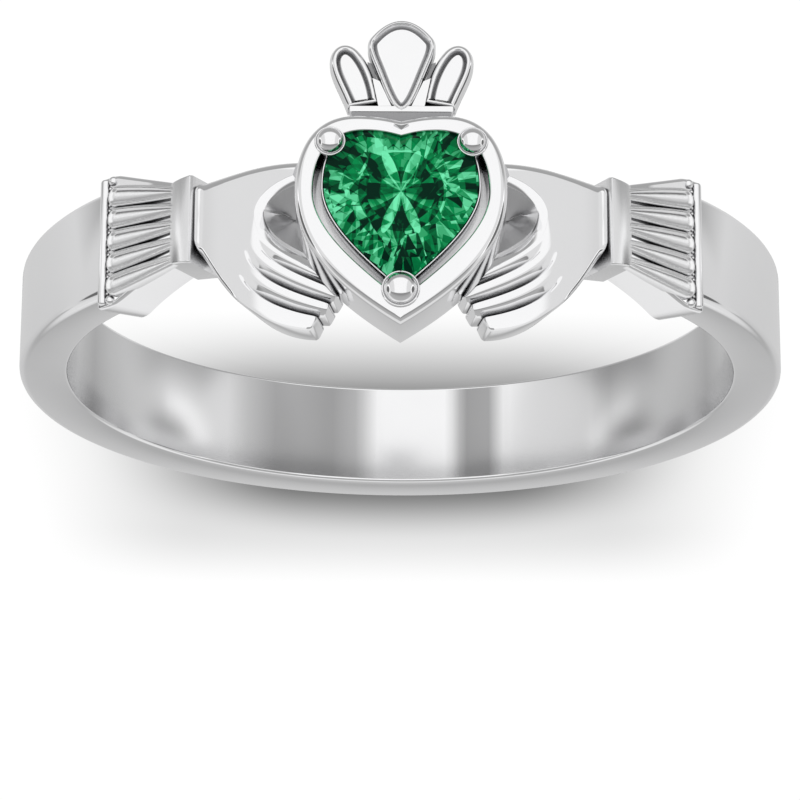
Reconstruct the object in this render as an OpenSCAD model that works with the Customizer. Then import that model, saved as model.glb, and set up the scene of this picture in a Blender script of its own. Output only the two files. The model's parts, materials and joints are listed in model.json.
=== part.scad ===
// Claddagh ring: two cuffed hands hold a crowned heart, on a plain band.
// The metal is one casting. A heart-cut green stone sits in the heart under three round prongs.
// It is modelled as it is worn: Z up through the heart, Y along the finger and X across it,
// with the crown at +Y. rest_pose() then lays it on its side, crown down, on the plane Z = 0.

/* [Band] */
// Inside diameter, the finger size
finger_d = 17.3; // [15:0.1:21]
// Width of the band along the finger
band_w = 2.78; // [2.2:0.02:3.2]
// Thickness of the band at the palm side, its thickest place
palm_t = 1.52; // [1.3:0.02:2.2]
// Thickness that the band's round outside would have under the heart
crest_t = 1.02; // [0.9:0.02:1.2]
// Rounding of the band's outer edges
edge_r = 0.2; // [0.1:0.02:0.4]
// Width of the soft edge round the finger hole
bore_edge = 0.1; // [0.05:0.01:0.2]

/* [Bridge under the heart] */
// Thickness of the bridge that carries the hands and the heart
bridge_t = 0.75; // [0.5:0.05:0.9]
// Half width of the bridge between the wrists
bridge_neck = 0.62; // [0.5:0.02:0.7]
// Half width of the bridge under the heart
bridge_hw = 1.2; // [0.9:0.05:1.35]

/* [Cuffs] */
// Angle from the heart round to the middle of a cuff
cuff_angle = 41.9; // [41:0.1:45]
// Length of a cuff round the ring
cuff_l = 2.6; // [2.4:0.05:2.8]
// Width of a cuff at its rim, along the finger
cuff_rim_w = 3.44; // [3:0.02:4]
// Width of a cuff where it meets its collar
cuff_neck_w = 1.96; // [1.7:0.02:2.2]
// Thickness of a cuff, from the finger out
cuff_t = 1.22; // [1.1:0.02:1.5]
// Width of the bar along the rim
rim_bar_w = 0.34; // [0.25:0.01:0.45]
// How far the rim bar and the flutes stand proud
relief_h = 0.16; // [0.08:0.01:0.25]
// Number of fanned flutes on a cuff
flutes = 5; // [3:1:6]
// Width of a flute at its round end
flute_w = 0.56; // [0.4:0.02:0.6]
// Width of a flute at the collar
flute_tip_w = 0.22; // [0.15:0.01:0.3]

/* [Collars] */
// Angle from the heart round to the middle of a collar
collar_angle = 32.6; // [32:0.1:33]
// Length of a collar round the ring
collar_l = 0.64; // [0.55:0.01:0.8]
// Width of a collar on the cuff's side
collar_w = 1.98; // [1.8:0.02:2.1]
// Width of a collar on the hand's side
collar_flare_w = 2.28; // [2.1:0.02:2.6]
// Thickness of a collar, from the finger out
collar_t = 1.3; // [1.26:0.02:1.5]

/* [Hands] */
// Distance from the finger to the back of a hand
hand_rise = 1.37; // [1.25:0.01:1.6]
// Distance from the finger to the underside of a hand
hand_lift = 0.4; // [0.15:0.05:0.5]
// Length of a hand round the ring, from the wrist to the fingertips
hand_l = 3.68; // [3.5:0.02:3.9]
// Distance along the finger from the wrist's middle to the little finger's tip
hand_drop = 3.4; // [3.2:0.05:3.6]
// Width of a wrist
wrist_w = 1.66; // [1.4:0.02:1.8]
// Number of fingers on a hand
fingers = 4; // [3:1:4]
// Depth of the grooves between the fingers
groove_d = 0.34; // [0.2:0.02:0.45]
// Rounding of a hand's outer edge
hand_edge = 0.22; // [0.1:0.02:0.3]

/* [Heart] */
// Width of the heart
heart_w = 4.98; // [4.7:0.02:5.2]
// Length of the heart, from its flat top to its point
heart_l = 5.22; // [5:0.02:5.4]
// Distance from the finger's axis plane to the top of the heart
heart_top_y = 1.46; // [1.2:0.02:1.6]
// Height of the heart's rim above the finger hole
heart_rise = 2.7; // [2.6:0.05:3]
// Height of the heart's side wall
heart_h = 1.45; // [1.3:0.05:1.75]
// Width of the heart's flat rim
rim_w = 0.43; // [0.32:0.01:0.46]
// Depth of the open well inside the rim
well_d = 0.42; // [0.35:0.01:0.5]
// Diameter of the hole behind the stone
light_hole_d = 1.6; // [1.2:0.1:1.8]

/* [Stone] */
// Width of the stone
stone_w = 3.64; // [3.5:0.02:3.7]
// Length of the stone, from its lobes to its point
stone_l = 3.92; // [3.8:0.02:4]
// Height of the stone above its girdle
stone_crown_h = 0.42; // [0.3:0.02:0.5]
// Depth of the stone below its girdle
stone_depth = 1.55; // [1.3:0.05:1.7]
// Thickness of the girdle
girdle_t = 0.08; // [0.04:0.01:0.12]
// Size of the table as a share of the stone's outline
table_share = 0.58; // [0.5:0.01:0.65]
// Gap between the stone and the metal that holds it
seat_gap = 0.04; // [0.02:0.01:0.06]
// Diameter of the two prongs at the lobes
prong_d = 0.7; // [0.6:0.02:0.76]
// Diameter of the prong at the point
tip_prong_d = 0.88; // [0.76:0.02:0.96]

/* [Crown] */
// Length of the crown above the heart
crown_l = 2.6; // [2.4:0.02:2.8]
// Width of the crown across its side petals
crown_w = 3.46; // [3.2:0.02:3.6]
// Thickness of the crown
crown_t = 0.6; // [0.5:0.05:0.9]
// Step from the heart's rim down to the face of the crown
crown_step = 0.45; // [0.35:0.05:0.55]
// Width of the rim round a petal
petal_rim = 0.2; // [0.15:0.01:0.24]
// Depth of the hollow in a petal
petal_d = 0.38; // [0.2:0.02:0.45]

/* [Hidden] */
silver = [0.86, 0.86, 0.87];
green = [0.05, 0.48, 0.25];
finger_r = finger_d / 2;
// The outside is a circle set off from the finger hole, so the band is thicker at the palm
out_r = finger_r + (palm_t + crest_t) / 2;
out_z = (crest_t - palm_t) / 2;
palm_z = out_z - out_r;
hand_r = finger_r + hand_rise;
base_r = finger_r + hand_lift;
rim_z = finger_r + heart_rise;
heart_z = rim_z - heart_h;
heart_tip_y = heart_top_y - heart_l;
well_z = rim_z - well_d;
girdle_z = rim_z - 0.3 * well_d;
stone_tip_y = heart_top_y - 0.07 * heart_l - stone_l;
crown_top_z = rim_z - crown_step;
crown_bottom_z = crown_top_z - crown_t;
crown_tip_y = heart_top_y + crown_l;
bridge_r = finger_r + bridge_t;
wrist_angle = collar_angle - collar_l / 2 / hand_r * 180 / PI;

// The ring rests on the crown's tip and on the band's rounded edge at the palm, so the heart's end
// is raised
edge_hw = band_w / 2 - edge_r;
edge_z = palm_z + edge_r;
tip_run = crown_tip_y - edge_hw;
tip_rise = crown_bottom_z - edge_z;
tilt = acos(edge_r / norm([tip_run, tip_rise])) - atan2(tip_rise, tip_run);
lift = crown_tip_y * cos(tilt) - crown_bottom_z * sin(tilt);
// The lobes' prongs are the furthest point at the front, the palm's lower edge at the back
lobe_prong = [0.67 * heart_w / 2, heart_top_y - 0.14 * heart_l];
prong_z = rim_z + 0.12 * prong_d;
front = prong_z * cos(tilt) + lobe_prong.y * sin(tilt) + prong_d / 2;
back = -edge_z * cos(tilt) + edge_hw * sin(tilt) + edge_r;
centre_y = (back - front) / 2;

function blend(a, b, k) = a + (b - a) * k;
function smooth(k) = let (c = min(max(k, 0), 1)) c * c * (3 - 2 * c);
// A point on the cubic curve with the four control points p
function curve_at(p, k) =
    pow(1 - k, 3) * p[0] + 3 * k * pow(1 - k, 2) * p[1] + 3 * k * k * (1 - k) * p[2] + pow(k, 3) * p[3];
function curve(p, steps) = [for (i = [0 : steps - 1]) curve_at(p, i / steps)];

// Half of a heart from the cleft to the point, with dip the depth of the cleft as a share of the
// length and belly the fullness of the lower sides. Each curve's control points are shares
// [across, along], with 0 along at the lobes' top.
function heart_half(w, l, dip, belly, steps) =
    let (shares = [
        [[0, -dip], [0.14, -0.4 * dip], [0.24, 0], [0.42, 0]],
        [[0.42, 0], [0.8, 0], [1, -0.14], [1, -0.36]],
        [[1, -0.36], [1, -0.56 - belly], [0.6 + belly, -0.76 - 0.7 * belly], [0, -1]]])
    [for (c = shares) each curve([for (p = c) [-w / 2 * p[0], l * p[1]]], steps)];
function heart_outline(w, l, dip, belly, steps = 7) =
    let (half = heart_half(w, l, dip, belly, steps))
    concat(half, [[0, -l]], [for (i = [len(half) - 1 : -1 : 1]) [-half[i].x, half[i].y]]);

module heart_2d(w, l, dip, belly, top_y) {
    translate([0, top_y]) polygon(heart_outline(w, l, dip, belly));
}

// Turns a piece made at the top of the ring round to an angle on the left side
module at_angle(a) {
    rotate([0, -a, 0]) children();
}

module both_sides() {
    children();
    mirror([1, 0, 0]) children();
}

// The band: an eccentric round rim with soft outer edges
module band() {
    hw = band_w / 2;
    corner = [for (a = [0 : 30 : 90]) [out_r - edge_r + edge_r * cos(a), hw - edge_r + edge_r * sin(a)]];
    profile = concat([[0, -hw]], [for (i = [3 : -1 : 0]) [corner[i].x, -corner[i].y]], corner, [[0, hw]]);
    color(silver) difference() {
        translate([0, 0, out_z]) rotate([90, 0, 0]) rotate_extrude($fn = 96) polygon(profile);
        finger_gap();
    }
}

// The sector over the finger, between the collars, where the band gives way to the narrow bridge
module finger_gap() {
    far = 2 * out_r;
    rotate([90, 0, 0]) linear_extrude(band_w + 1, center = true)
        polygon([[0, 0], [-far * sin(collar_angle), far * cos(collar_angle)],
            [far * sin(collar_angle), far * cos(collar_angle)]]);
}

// The narrow bridge below the hands, wider under the heart
module bridge() {
    reach = finger_r * sin(collar_angle);
    waist = 0.62 * reach;
    outline = [[-reach, -bridge_neck], [-waist, -bridge_hw], [waist, -bridge_hw], [reach, -bridge_neck],
        [reach, bridge_neck], [waist, bridge_neck], [0.3 * reach, bridge_hw], [-0.3 * reach, bridge_hw],
        [-waist, bridge_neck], [-reach, bridge_neck]];
    color(silver) intersection() {
        translate([0, 0, finger_r * cos(collar_angle) - 1]) linear_extrude(finger_r) polygon(outline);
        rotate([90, 0, 0]) cylinder(r = bridge_r, h = band_w, center = true, $fn = 96);
    }
}

// Outline of a flute: round at the rim, narrowing to the collar
function flute_outline(l, w, tip_w) = concat(
    [for (a = [90 : 20 : 270]) [w / 2 + w / 2 * cos(a), w / 2 * sin(a)]],
    [for (a = [-60 : 40 : 60]) [l - tip_w / 2 + tip_w / 2 * cos(a), tip_w / 2 * sin(a)]]);

// A raised flute with a shallow hollow along it
module flute(l) {
    lip = 0.3;
    difference() {
        translate([0, 0, -0.3]) linear_extrude(0.3 + relief_h) polygon(flute_outline(l, flute_w, flute_tip_w));
        translate([lip * flute_w / 2, 0, relief_h / 2]) linear_extrude(relief_h)
            polygon(flute_outline(0.8 * l, (1 - lip) * flute_w, (1 - lip) * flute_tip_w));
    }
}

// A cuff: a block that narrows from its barred rim to the collar, with fanned flutes on it
module cuff() {
    rim_x = -cuff_l / 2;
    neck_x = cuff_l / 2;
    face_z = finger_r + cuff_t - relief_h;
    bar_x = rim_x + 0.1 + rim_bar_w / 2;
    flute_x = bar_x + rim_bar_w / 2 + 0.07;
    flute_l = neck_x - flute_x + 0.1;
    step = (cuff_rim_w - 0.3) / flutes;
    neck_step = (cuff_neck_w - 0.2) / flutes;
    color(silver) at_angle(cuff_angle) {
        intersection() {
            translate([0, 0, finger_r - 1]) linear_extrude(cuff_t + 1) polygon([
                [rim_x, -cuff_rim_w / 2], [rim_x + 1.6 * rim_bar_w, -cuff_rim_w / 2], [neck_x, -cuff_neck_w / 2],
                [neck_x, cuff_neck_w / 2], [rim_x + 1.6 * rim_bar_w, cuff_rim_w / 2], [rim_x, cuff_rim_w / 2]]);
            rotate([90, 0, 0]) linear_extrude(cuff_rim_w + 1, center = true) polygon([
                [rim_x + 0.35 * cuff_t, finger_r - 1], [rim_x + 0.35 * cuff_t, finger_r - 0.1], [rim_x, face_z],
                [neck_x, face_z], [neck_x, finger_r - 1]]);
        }
        translate([bar_x, 0, face_z])
            rotate([90, 0, 0]) cylinder(d = rim_bar_w, h = cuff_rim_w - 0.16, center = true, $fn = 24);
        for (i = [0 : flutes - 1]) {
            k = i - (flutes - 1) / 2;
            run = [flute_l, k * (neck_step - step)];
            translate([flute_x, k * step, face_z]) rotate(atan2(run.y, run.x)) flute(norm(run));
        }
    }
}

// A collar: a turned-back band that flares towards the hand and rises to it
module collar() {
    half = collar_l / 2;
    top = finger_r + collar_t;
    color(silver) at_angle(collar_angle) intersection() {
        translate([0, 0, finger_r - 1]) linear_extrude(collar_t + 2) polygon([
            [-half, -collar_w / 2], [half, -collar_flare_w / 2],
            [half, collar_flare_w / 2], [-half, collar_w / 2]]);
        rotate([90, 0, 0]) linear_extrude(collar_flare_w + 1, center = true) polygon([
            [-half, finger_r - 1], [half, finger_r - 1], [half, top - 0.06], [0.7 * half, top],
            [-0.4 * half, top], [-half, top - 0.08 * collar_t]]);
    }
}

// Guide curves of a hand, as shares of its length and drop, each from the wrist to the fingertips:
// the thumb's outer edge, the forefinger's inner edge and the little finger's outer edge
wrist_share = wrist_w / 2 / hand_drop;
thumb_edge = [[0, wrist_share], [0.21, 0.23], [0.45, 0.3], [0.79, 0.26]];
fore_edge = [[0, 0.03], [0.29, -0.01], [0.48, -0.34], [1, -0.56]];
little_edge = [[0, -wrist_share], [0.17, -0.43], [0.4, -0.95], [0.87, -0.98]];
// Opening between the thumb and the forefinger, where the heart sits, as two curves of shares
web_upper = [[0.76, 0.125], [0.6, 0.11], [0.48, 0.02], [0.475, -0.125]];
web_lower = [[0.475, -0.125], [0.475, -0.29], [0.72, -0.44], [1.02, -0.58]];
function hand_share(p) = [p[0] * hand_l, p[1] * hand_drop];
function edge_at(edge, k) = curve_at([for (p = edge) hand_share(p)], k);

// Columns across a hand: two zones, the palm with its thumb, then the fingers
palm_cols = [for (k = [0, 0.08, 0.25, 0.5, 0.75]) [0, k]];
finger_cols = [for (k = [0 : 4 * fingers]) [1, k / (4 * fingers)]];
hand_cols = concat(palm_cols, finger_cols);
hand_rows = [0, 0.05, 0.15, 0.25, 0.35, 0.44, 0.52, 0.6, 0.68, 0.76, 0.84, 0.92, 1];
// How much further each finger reaches than the one before the little finger
finger_reach = [0, 0.075, 0.05, 0.015];

// Plan position of a point of the hand, as a length round the ring and a place along the finger
function hand_plan(t, col) =
    let (outer = col[0] == 0 ? edge_at(thumb_edge, t) : edge_at(fore_edge, t),
        inner = col[0] == 0 ? edge_at(fore_edge, t) : edge_at(little_edge, t),
        nth = min(floor(col[1] * fingers), fingers - 1),
        reach = col[0] == 1 ? finger_reach[nth] * pow(t, 6) * hand_l : 0)
    blend(outer, inner, col[1]) + [reach, -0.5 * reach];

// Distance of the hand's back from the finger's axis: a low dome, with grooves and round edges
function hand_height(t, col) =
    let (wave = abs(sin(180 * fingers * col[1])),
        groove = col[0] == 1 ? smooth((t - 0.36 - 0.06 * abs(col[1] - 0.5)) / 0.2) * (1 - pow(wave, 0.7)) : 0,
        wrist_dip = 0.24 * (1 - smooth(t / 0.4)),
        tip_dip = 0.12 * smooth((t - 0.6) / 0.4),
        at_edge = (col[0] == 0 && col[1] == 0) || (col[0] == 1 && col[1] == 1))
    hand_r - wrist_dip - tip_dip - (at_edge ? max(hand_edge, groove_d * groove) : groove_d * groove);

function on_ring(plan, r) =
    let (a = wrist_angle - plan[0] / hand_r * 180 / PI)
    [-r * sin(a), plan[1], r * cos(a)];

// A hand: a skin of rows and columns over its back and one under it, closed round the sides
module hand() {
    n = len(hand_cols);
    m = len(hand_rows);
    back = [for (t = hand_rows) for (c = hand_cols) on_ring(hand_plan(t, c), hand_height(t, c))];
    under = [for (t = hand_rows) for (c = hand_cols) on_ring(hand_plan(t, c), base_r)];
    count = n * m;
    back_faces = [for (i = [0 : m - 2]) for (j = [0 : n - 2])
        each [[i * n + j, (i + 1) * n + j, (i + 1) * n + j + 1], [i * n + j, (i + 1) * n + j + 1, i * n + j + 1]]];
    under_faces = [for (f = back_faces) [f[2] + count, f[1] + count, f[0] + count]];
    rim = concat([for (j = [0 : n - 1]) j], [for (i = [1 : m - 1]) i * n + n - 1],
        [for (j = [n - 2 : -1 : 0]) (m - 1) * n + j], [for (i = [m - 2 : -1 : 1]) i * n]);
    side_faces = [for (i = [0 : len(rim) - 1]) let (a = rim[i], b = rim[(i + 1) % len(rim)])
        each [[a, b, b + count], [a, b + count, a + count]]];
    color(silver) difference() {
        polyhedron(concat(back, under), concat(back_faces, under_faces, side_faces));
        web_cut();
    }
}

// The opening between the thumb and the forefinger, cut down to the bridge
module web_cut() {
    edge = concat(curve([for (p = web_upper) hand_share(p)], 6), curve([for (p = web_lower) hand_share(p)], 7));
    plan = [for (p = edge) let (q = on_ring(p, hand_r)) [q.x, q.y]];
    translate([0, 0, bridge_r - 0.06]) linear_extrude(heart_rise)
        polygon(concat(plan, [[-0.2, heart_tip_y / 2], [-0.2, heart_top_y / 3]]));
}

// The heart: a high-walled cup whose well and seat follow the stone
module heart() {
    color(silver) difference() {
        union() {
            translate([0, 0, heart_z]) linear_extrude(heart_h) heart_2d(heart_w, heart_l, 0.026, 0.06, heart_top_y);
            translate([0, 0, finger_r + 0.2]) linear_extrude(heart_z - finger_r)
                heart_2d(0.72 * heart_w, 0.66 * heart_l, 0, 0.06, 0.62 * heart_top_y);
        }
        translate([0, 0, well_z]) linear_extrude(well_d + 1)
            heart_2d(heart_w - 2 * rim_w, stone_l + 0.32, 0.033, 0, heart_top_y - 0.9 * rim_w);
    }
}

// Rings of points down the stone: [share of the outline, height from the girdle]
stone_rings = [
    [table_share, stone_crown_h],
    [blend(table_share, 1, 0.5), 0.62 * stone_crown_h],
    [1, 0],
    [1, -girdle_t],
    [0.62, -0.48 * stone_depth],
    [0.3, -0.78 * stone_depth]];

// The stone's solid, grown outwards by a gap
module stone_body(gap) {
    rim = heart_outline(stone_w + 2 * gap, stone_l + 3 * gap, 0.05, 0, 4);
    n = len(rim);
    mid = [0, -0.44 * stone_l];
    top = stone_tip_y + stone_l + gap;
    rings = len(stone_rings);
    grow = [for (i = [0 : rings - 1]) i < 3 ? gap : -gap];
    points = concat([for (i = [0 : rings - 1]) for (p = rim)
            let (q = blend(mid, p, stone_rings[i][0])) [q.x, q.y + top, girdle_z + stone_rings[i][1] + grow[i]]],
        [[mid.x, mid.y + top, girdle_z - stone_depth - gap], [mid.x, mid.y + top, girdle_z + stone_crown_h + gap]]);
    walls = [for (i = [0 : rings - 2]) for (j = [0 : n - 1]) let (k = (j + 1) % n, a = i * n, b = (i + 1) * n)
        each j % 2 == 0
            ? [[a + j, a + k, b + j], [a + k, b + k, b + j]]
            : [[a + j, b + k, b + j], [a + j, a + k, b + k]]];
    last = (rings - 1) * n;
    caps = [for (j = [0 : n - 1]) let (k = (j + 1) % n)
        each [[last + j, last + k, n * rings], [k, j, n * rings + 1]]];
    polyhedron(points, concat(walls, caps));
}

// Three round prongs over the stone's edge
module prongs() {
    color(silver) {
        both_sides() prong(-lobe_prong.x, lobe_prong.y, prong_d);
        prong(0, stone_tip_y - 0.03 * stone_l, tip_prong_d);
    }
}

module prong(x, y, d) {
    translate([x, y, prong_z]) sphere(d = d, $fn = 32);
    translate([x, y, heart_z + 0.2]) cylinder(d = 0.9 * d, h = heart_h - 0.2, $fn = 24);
}

// Outlines of the crown's petals, as shares of half its width and of its length
mid_slope = [[0, 1], [0.16, 1], [0.3, 0.93], [0.43, 0.82]];
mid_shoulder = [[0.43, 0.82], [0.49, 0.76], [0.45, 0.68], [0.4, 0.6]];
mid_foot = [[0.4, 0.6], [0.27, 0.37], [0.18, 0.14], [0.04, 0.1]];
side_out = [[0.72, 0.15], [0.8, 0.3], [0.97, 0.46], [0.98, 0.6]];
side_top = [[0.98, 0.6], [0.98, 0.78], [0.73, 0.85], [0.56, 0.71]];
side_in = [[0.56, 0.71], [0.46, 0.61], [0.32, 0.42], [0.28, 0.15]];

function crown_share(curves) = [for (c = curves) each curve(
    [for (p = c) [-p[0] * crown_w / 2, heart_top_y + p[1] * crown_l]], 5)];
mid_half = crown_share([mid_slope, mid_shoulder, mid_foot]);
mid_petal = concat(mid_half, [[0, heart_top_y + 0.09 * crown_l]],
    [for (i = [len(mid_half) - 1 : -1 : 1]) [-mid_half[i].x, mid_half[i].y]]);
side_petal = crown_share([side_out, side_top, side_in]);

// An outline drawn in towards its middle, so that a rim of the given width is left round it
function drawn_in(points, rim) =
    let (lo = [min([for (p = points) p.x]), min([for (p = points) p.y])],
        hi = [max([for (p = points) p.x]), max([for (p = points) p.y])],
        mid = (lo + hi) / 2, size = hi - lo)
    [for (p = points) [mid.x + (p.x - mid.x) * (1 - 2 * rim / size.x),
        mid.y + (p.y - mid.y) * (1 - 2 * rim / size.y)]];

module petal(outline) {
    difference() {
        translate([0, 0, crown_bottom_z]) linear_extrude(crown_t) polygon(outline);
        translate([0, 0, crown_top_z - petal_d]) linear_extrude(petal_d + 1) polygon(drawn_in(outline, petal_rim));
    }
}

// The crown: a middle petal and two side petals, hollowed on their faces, joined at their inner
// sides and standing on a straight foot over a lower neck
module crown() {
    foot = 0.71 * crown_w;
    neck = 0.68 * crown_w;
    foot_y = heart_top_y + 0.09 * crown_l;
    join = [for (p = [[0.28, 0.1], [0.12, 0.1], [0.36, 0.5], [0.44, 0.5]])
        [-p[0] * crown_w / 2, heart_top_y + p[1] * crown_l]];
    color(silver) {
        petal(mid_petal);
        both_sides() {
            petal(side_petal);
            translate([0, 0, crown_bottom_z]) linear_extrude(crown_t - 0.04) polygon(join);
        }
        translate([-foot / 2, foot_y, crown_bottom_z]) cube([foot, 0.06 * crown_l, crown_t - 0.02]);
        translate([-neck / 2, heart_top_y - rim_w / 2, crown_bottom_z - 0.06])
            cube([neck, foot_y - heart_top_y + rim_w, crown_t / 2]);
    }
}

// The finger hole, with soft edges
module finger_hole() {
    hw = band_w / 2;
    rotate([90, 0, 0]) cylinder(r = finger_r, h = band_w + 2, center = true, $fn = 128);
    for (s = [-1, 1]) translate([0, s * hw, 0]) rotate([s * 90, 0, 0])
        translate([0, 0, -bore_edge]) rotate_extrude($fn = 128)
            polygon([[0, 0], [finger_r, 0], [finger_r + bore_edge, 1.6 * bore_edge], [0, 1.6 * bore_edge]]);
}

// Lays the worn ring on its side, crown down, with the heart's end raised by the crown
module rest_pose() {
    translate([0, -centre_y, lift]) rotate([-tilt, 0, 0]) rotate([90, 180, 0]) children();
}

module cast_ring() {
    rest_pose() color(silver) difference() {
        union() {
            band();
            bridge();
            both_sides() {
                cuff();
                collar();
                hand();
            }
            heart();
            prongs();
            crown();
        }
        finger_hole();
        stone_body(seat_gap);
        translate([0, 0, finger_r - 1]) cylinder(d = light_hole_d, h = heart_rise, $fn = 32);
    }
}

module heart_stone() {
    rest_pose() color(green) stone_body(0);
}

cast_ring();
heart_stone();
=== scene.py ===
import json
import math

import bmesh
import bpy
from mathutils import Matrix, Vector


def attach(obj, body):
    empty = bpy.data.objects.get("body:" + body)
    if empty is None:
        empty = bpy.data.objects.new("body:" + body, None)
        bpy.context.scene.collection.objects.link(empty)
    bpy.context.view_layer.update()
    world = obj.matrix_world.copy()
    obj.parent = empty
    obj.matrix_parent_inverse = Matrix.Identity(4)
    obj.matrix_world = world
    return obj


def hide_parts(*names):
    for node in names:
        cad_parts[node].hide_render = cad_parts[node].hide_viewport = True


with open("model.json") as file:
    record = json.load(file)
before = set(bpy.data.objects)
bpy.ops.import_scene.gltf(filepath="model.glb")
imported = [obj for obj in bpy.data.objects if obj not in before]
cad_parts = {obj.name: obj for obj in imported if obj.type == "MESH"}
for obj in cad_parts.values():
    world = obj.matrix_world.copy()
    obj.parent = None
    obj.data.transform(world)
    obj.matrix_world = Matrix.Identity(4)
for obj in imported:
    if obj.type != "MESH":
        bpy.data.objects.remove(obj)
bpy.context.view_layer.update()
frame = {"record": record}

# Claddagh ring: every piece is modelled in millimetres as the ring is worn (X across, Y along the
# finger towards the crown, Z up through the heart), then laid down where the finger hole is.
bore = frame["record"]["mounts"][0]
fingerR = bore["dims"]["r_mm"]
fingerAxis = Vector(bore["axis"]).normalized()
acrossAxis = Vector((-1, 0, 0))
heartAxis = acrossAxis.cross(-fingerAxis)
wornTurn = Matrix((acrossAxis, -fingerAxis, heartAxis)).transposed().to_4x4()
placement = Matrix.Translation(bore["pos_m"]) @ wornTurn @ Matrix.Scale(0.001, 4)


# Curves and rings

def curvePoint(controls, k):
    # a point on a cubic curve with four control points
    weights = ((1 - k) ** 3, 3 * k * (1 - k) ** 2, 3 * k * k * (1 - k), k ** 3)
    return Vector((sum(w * c[0] for w, c in zip(weights, controls)),
                   sum(w * c[1] for w, c in zip(weights, controls))))


def curveRun(curves, steps):
    # the points along several curves that follow on, without the last one's end
    return [curvePoint(controls, i / steps) for controls in curves for i in range(steps)]


def mirrored(half, closing):
    # a whole outline from its left half, which starts on the middle line and ends at closing
    return half + [Vector(closing)] + [Vector((-p.x, p.y)) for p in reversed(half[1:])]


def smoothStep(k):
    k = min(max(k, 0), 1)
    return k * k * (3 - 2 * k)


def blend(a, b, k):
    return a + (b - a) * k


def roundDrop(distance, radius):
    # how far a rounded edge lies below the flat at a distance from the side
    if distance >= radius:
        return 0
    return radius - math.sqrt(max(radius ** 2 - (radius - distance) ** 2, 0))


def inset(outline, distance):
    # an outline moved inwards by a distance, point by point
    area = sum(a.x * b.y - b.x * a.y for a, b in zip(outline, outline[1:] + outline[:1]))
    sign = 1 if area > 0 else -1
    moved = []
    for before, point, after in zip(outline[-1:] + outline[:-1], outline, outline[1:] + outline[:1]):
        run = (point - before).normalized() + (after - point).normalized()
        run = run.normalized()
        moved.append(point + Vector((-run.y, run.x)) * distance * sign)
    return moved


def atHeight(outline, z):
    return [Vector((p.x, p.y, z)) for p in outline]


def ringPoint(angle, along, radius):
    # a point at an angle in degrees from the heart, round the left side
    a = math.radians(angle)
    return Vector((-radius * math.sin(a), along, radius * math.cos(a)))


def sideTurn(angle, side):
    # from a local frame (along the ring, along the finger, outwards) to the left or right side
    turn = Matrix.Rotation(math.radians(-angle), 4, "Y")
    return turn if side == "left" else Matrix.Scale(-1, 4, (1, 0, 0)) @ turn


# Mesh building

def loft(bm, rings):
    # a closed skin through rings that all have the same number of points
    verts = bmesh.ops.create_circle(bm, cap_ends=False, segments=len(rings[0]), radius=1)["verts"]
    loops = []
    for level, ring in enumerate(rings):
        if level:
            fresh = set(bmesh.ops.extrude_edge_only(bm, edges=loops[-1])["geom"])
            verts = [next(e.other_vert(v) for e in v.link_edges if e.other_vert(v) in fresh) for v in verts]
        for vert, point in zip(verts, ring):
            vert.co = point
        loops.append([bm.edges.get(pair) for pair in zip(verts, verts[1:] + verts[:1])])
    bmesh.ops.contextual_create(bm, geom=loops[0])
    bmesh.ops.contextual_create(bm, geom=loops[-1])
    return loops


def soften(bm, edges, width, segments):
    bmesh.ops.bevel(bm, geom=[e for e in edges if e.is_valid], offset=width, offset_type="OFFSET",
                    segments=segments, profile=0.5, affect="EDGES", clamp_overlap=True, material=-1)


def edgeSpan(edge, axis):
    return abs(edge.verts[0].co[axis] - edge.verts[1].co[axis])


def lowest(edge):
    return min(v.co.z for v in edge.verts)


def gridPoints(bm, rows, columns):
    # a flat grid's points, each with its row and column
    grid = bmesh.ops.create_grid(bm, x_segments=rows, y_segments=columns, size=1)["verts"]
    return [(vert, round((vert.co.x + 1) / 2 * rows), round((vert.co.y + 1) / 2 * columns)) for vert in grid]


def finishPiece(bm, name, material, node="cast_ring", sharp=32, turn=None):
    bmesh.ops.remove_doubles(bm, verts=bm.verts, dist=0.0004)
    if turn:
        bm.transform(turn)
    bmesh.ops.recalc_face_normals(bm, faces=bm.faces)
    bm.transform(placement)
    bm.normal_update()
    for face in bm.faces:
        face.smooth = True
    for edge in bm.edges:
        if len(edge.link_faces) == 2:
            edge.smooth = edge.calc_face_angle() < math.radians(sharp)
    mesh = bpy.data.meshes.new(name)
    bm.to_mesh(mesh)
    bm.free()
    piece = bpy.data.objects.new(name, mesh)
    bpy.context.scene.collection.objects.link(piece)
    mesh.materials.append(material)
    flat = piece.modifiers.new("flatFaces", "WEIGHTED_NORMAL")  # keeps broad faces flat beside their rounded edges
    flat.keep_sharp = True
    flat.weight = 100
    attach(piece, "root")
    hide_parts(node)
    return piece


# Shader maths written as expressions

class Wire:
    def __init__(self, nodes, socket):
        self.nodes = nodes
        self.socket = socket

    def __getitem__(self, name):
        return Wire(self.nodes, self.socket.node.outputs[name])

    def math(self, operation, first, second=0.0):
        return self.nodes.add("ShaderNodeMath", {"operation": operation}, {0: first, 1: second})

    def __add__(self, other):
        return self.math("ADD", self, other)

    def __radd__(self, other):
        return self.math("ADD", other, self)

    def __sub__(self, other):
        return self.math("SUBTRACT", self, other)

    def __rsub__(self, other):
        return self.math("SUBTRACT", other, self)

    def __mul__(self, other):
        return self.math("MULTIPLY", self, other)

    def __rmul__(self, other):
        return self.math("MULTIPLY", other, self)


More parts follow.
